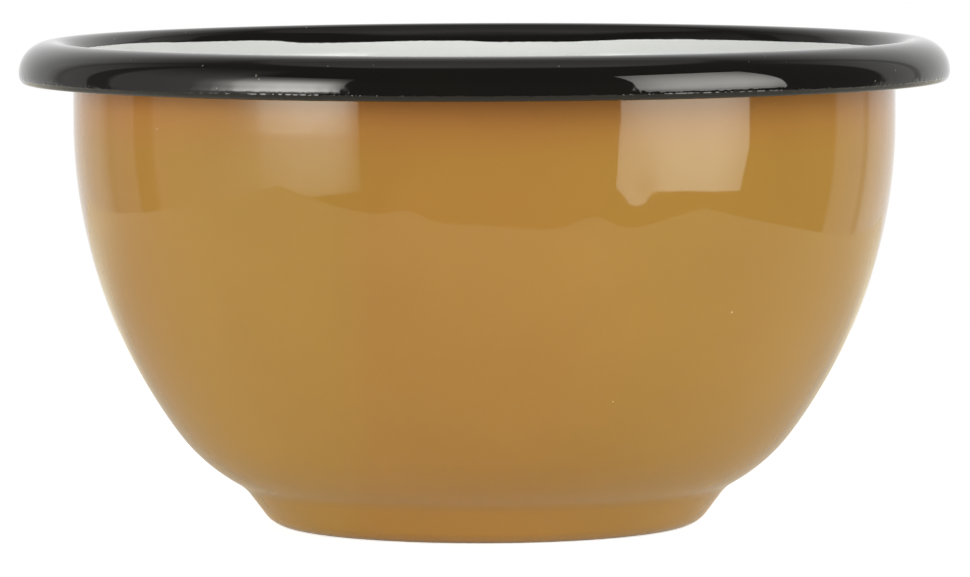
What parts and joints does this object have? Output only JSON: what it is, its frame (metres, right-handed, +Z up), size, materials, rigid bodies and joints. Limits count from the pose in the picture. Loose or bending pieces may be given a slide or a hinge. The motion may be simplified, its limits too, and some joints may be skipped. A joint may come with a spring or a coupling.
{
  "type": "enamel basin bowl",
  "caption": "Footed round enamel basin bowl of pressed sheet steel with an outward rolled black rim, a white inside and a mustard outside, for holding food or water.",
  "frame": {"origin": "centre of the standing ring, on the plane that the bowl stands on", "axes": "+Z up along the bowl's axis, towards the open rim; X and Y are any two level directions"},
  "size_m": [0.15, 0.15, 0.0784],
  "materials": {
    "sheet_steel": "drawn low-carbon sheet, bare under the coats",
    "ground_coat": "dark fired bonding enamel, hidden under the cover coats",
    "white_enamel": "gloss white vitreous enamel with slight orange peel and a few specks",
    "mustard_enamel": "gloss mustard vitreous enamel with gentle waves and a few specks",
    "black_enamel": "gloss black vitreous enamel with an uneven edge"
  },
  "bodies": {
    "root": {"steel_bowl": "sheet_steel", "inner_ground_coat": "ground_coat", "outer_ground_coat": "ground_coat", "inner_white_enamel": "white_enamel", "outer_mustard_enamel": "mustard_enamel", "rim_black_enamel": "black_enamel"}
  },
  "joints": []
}
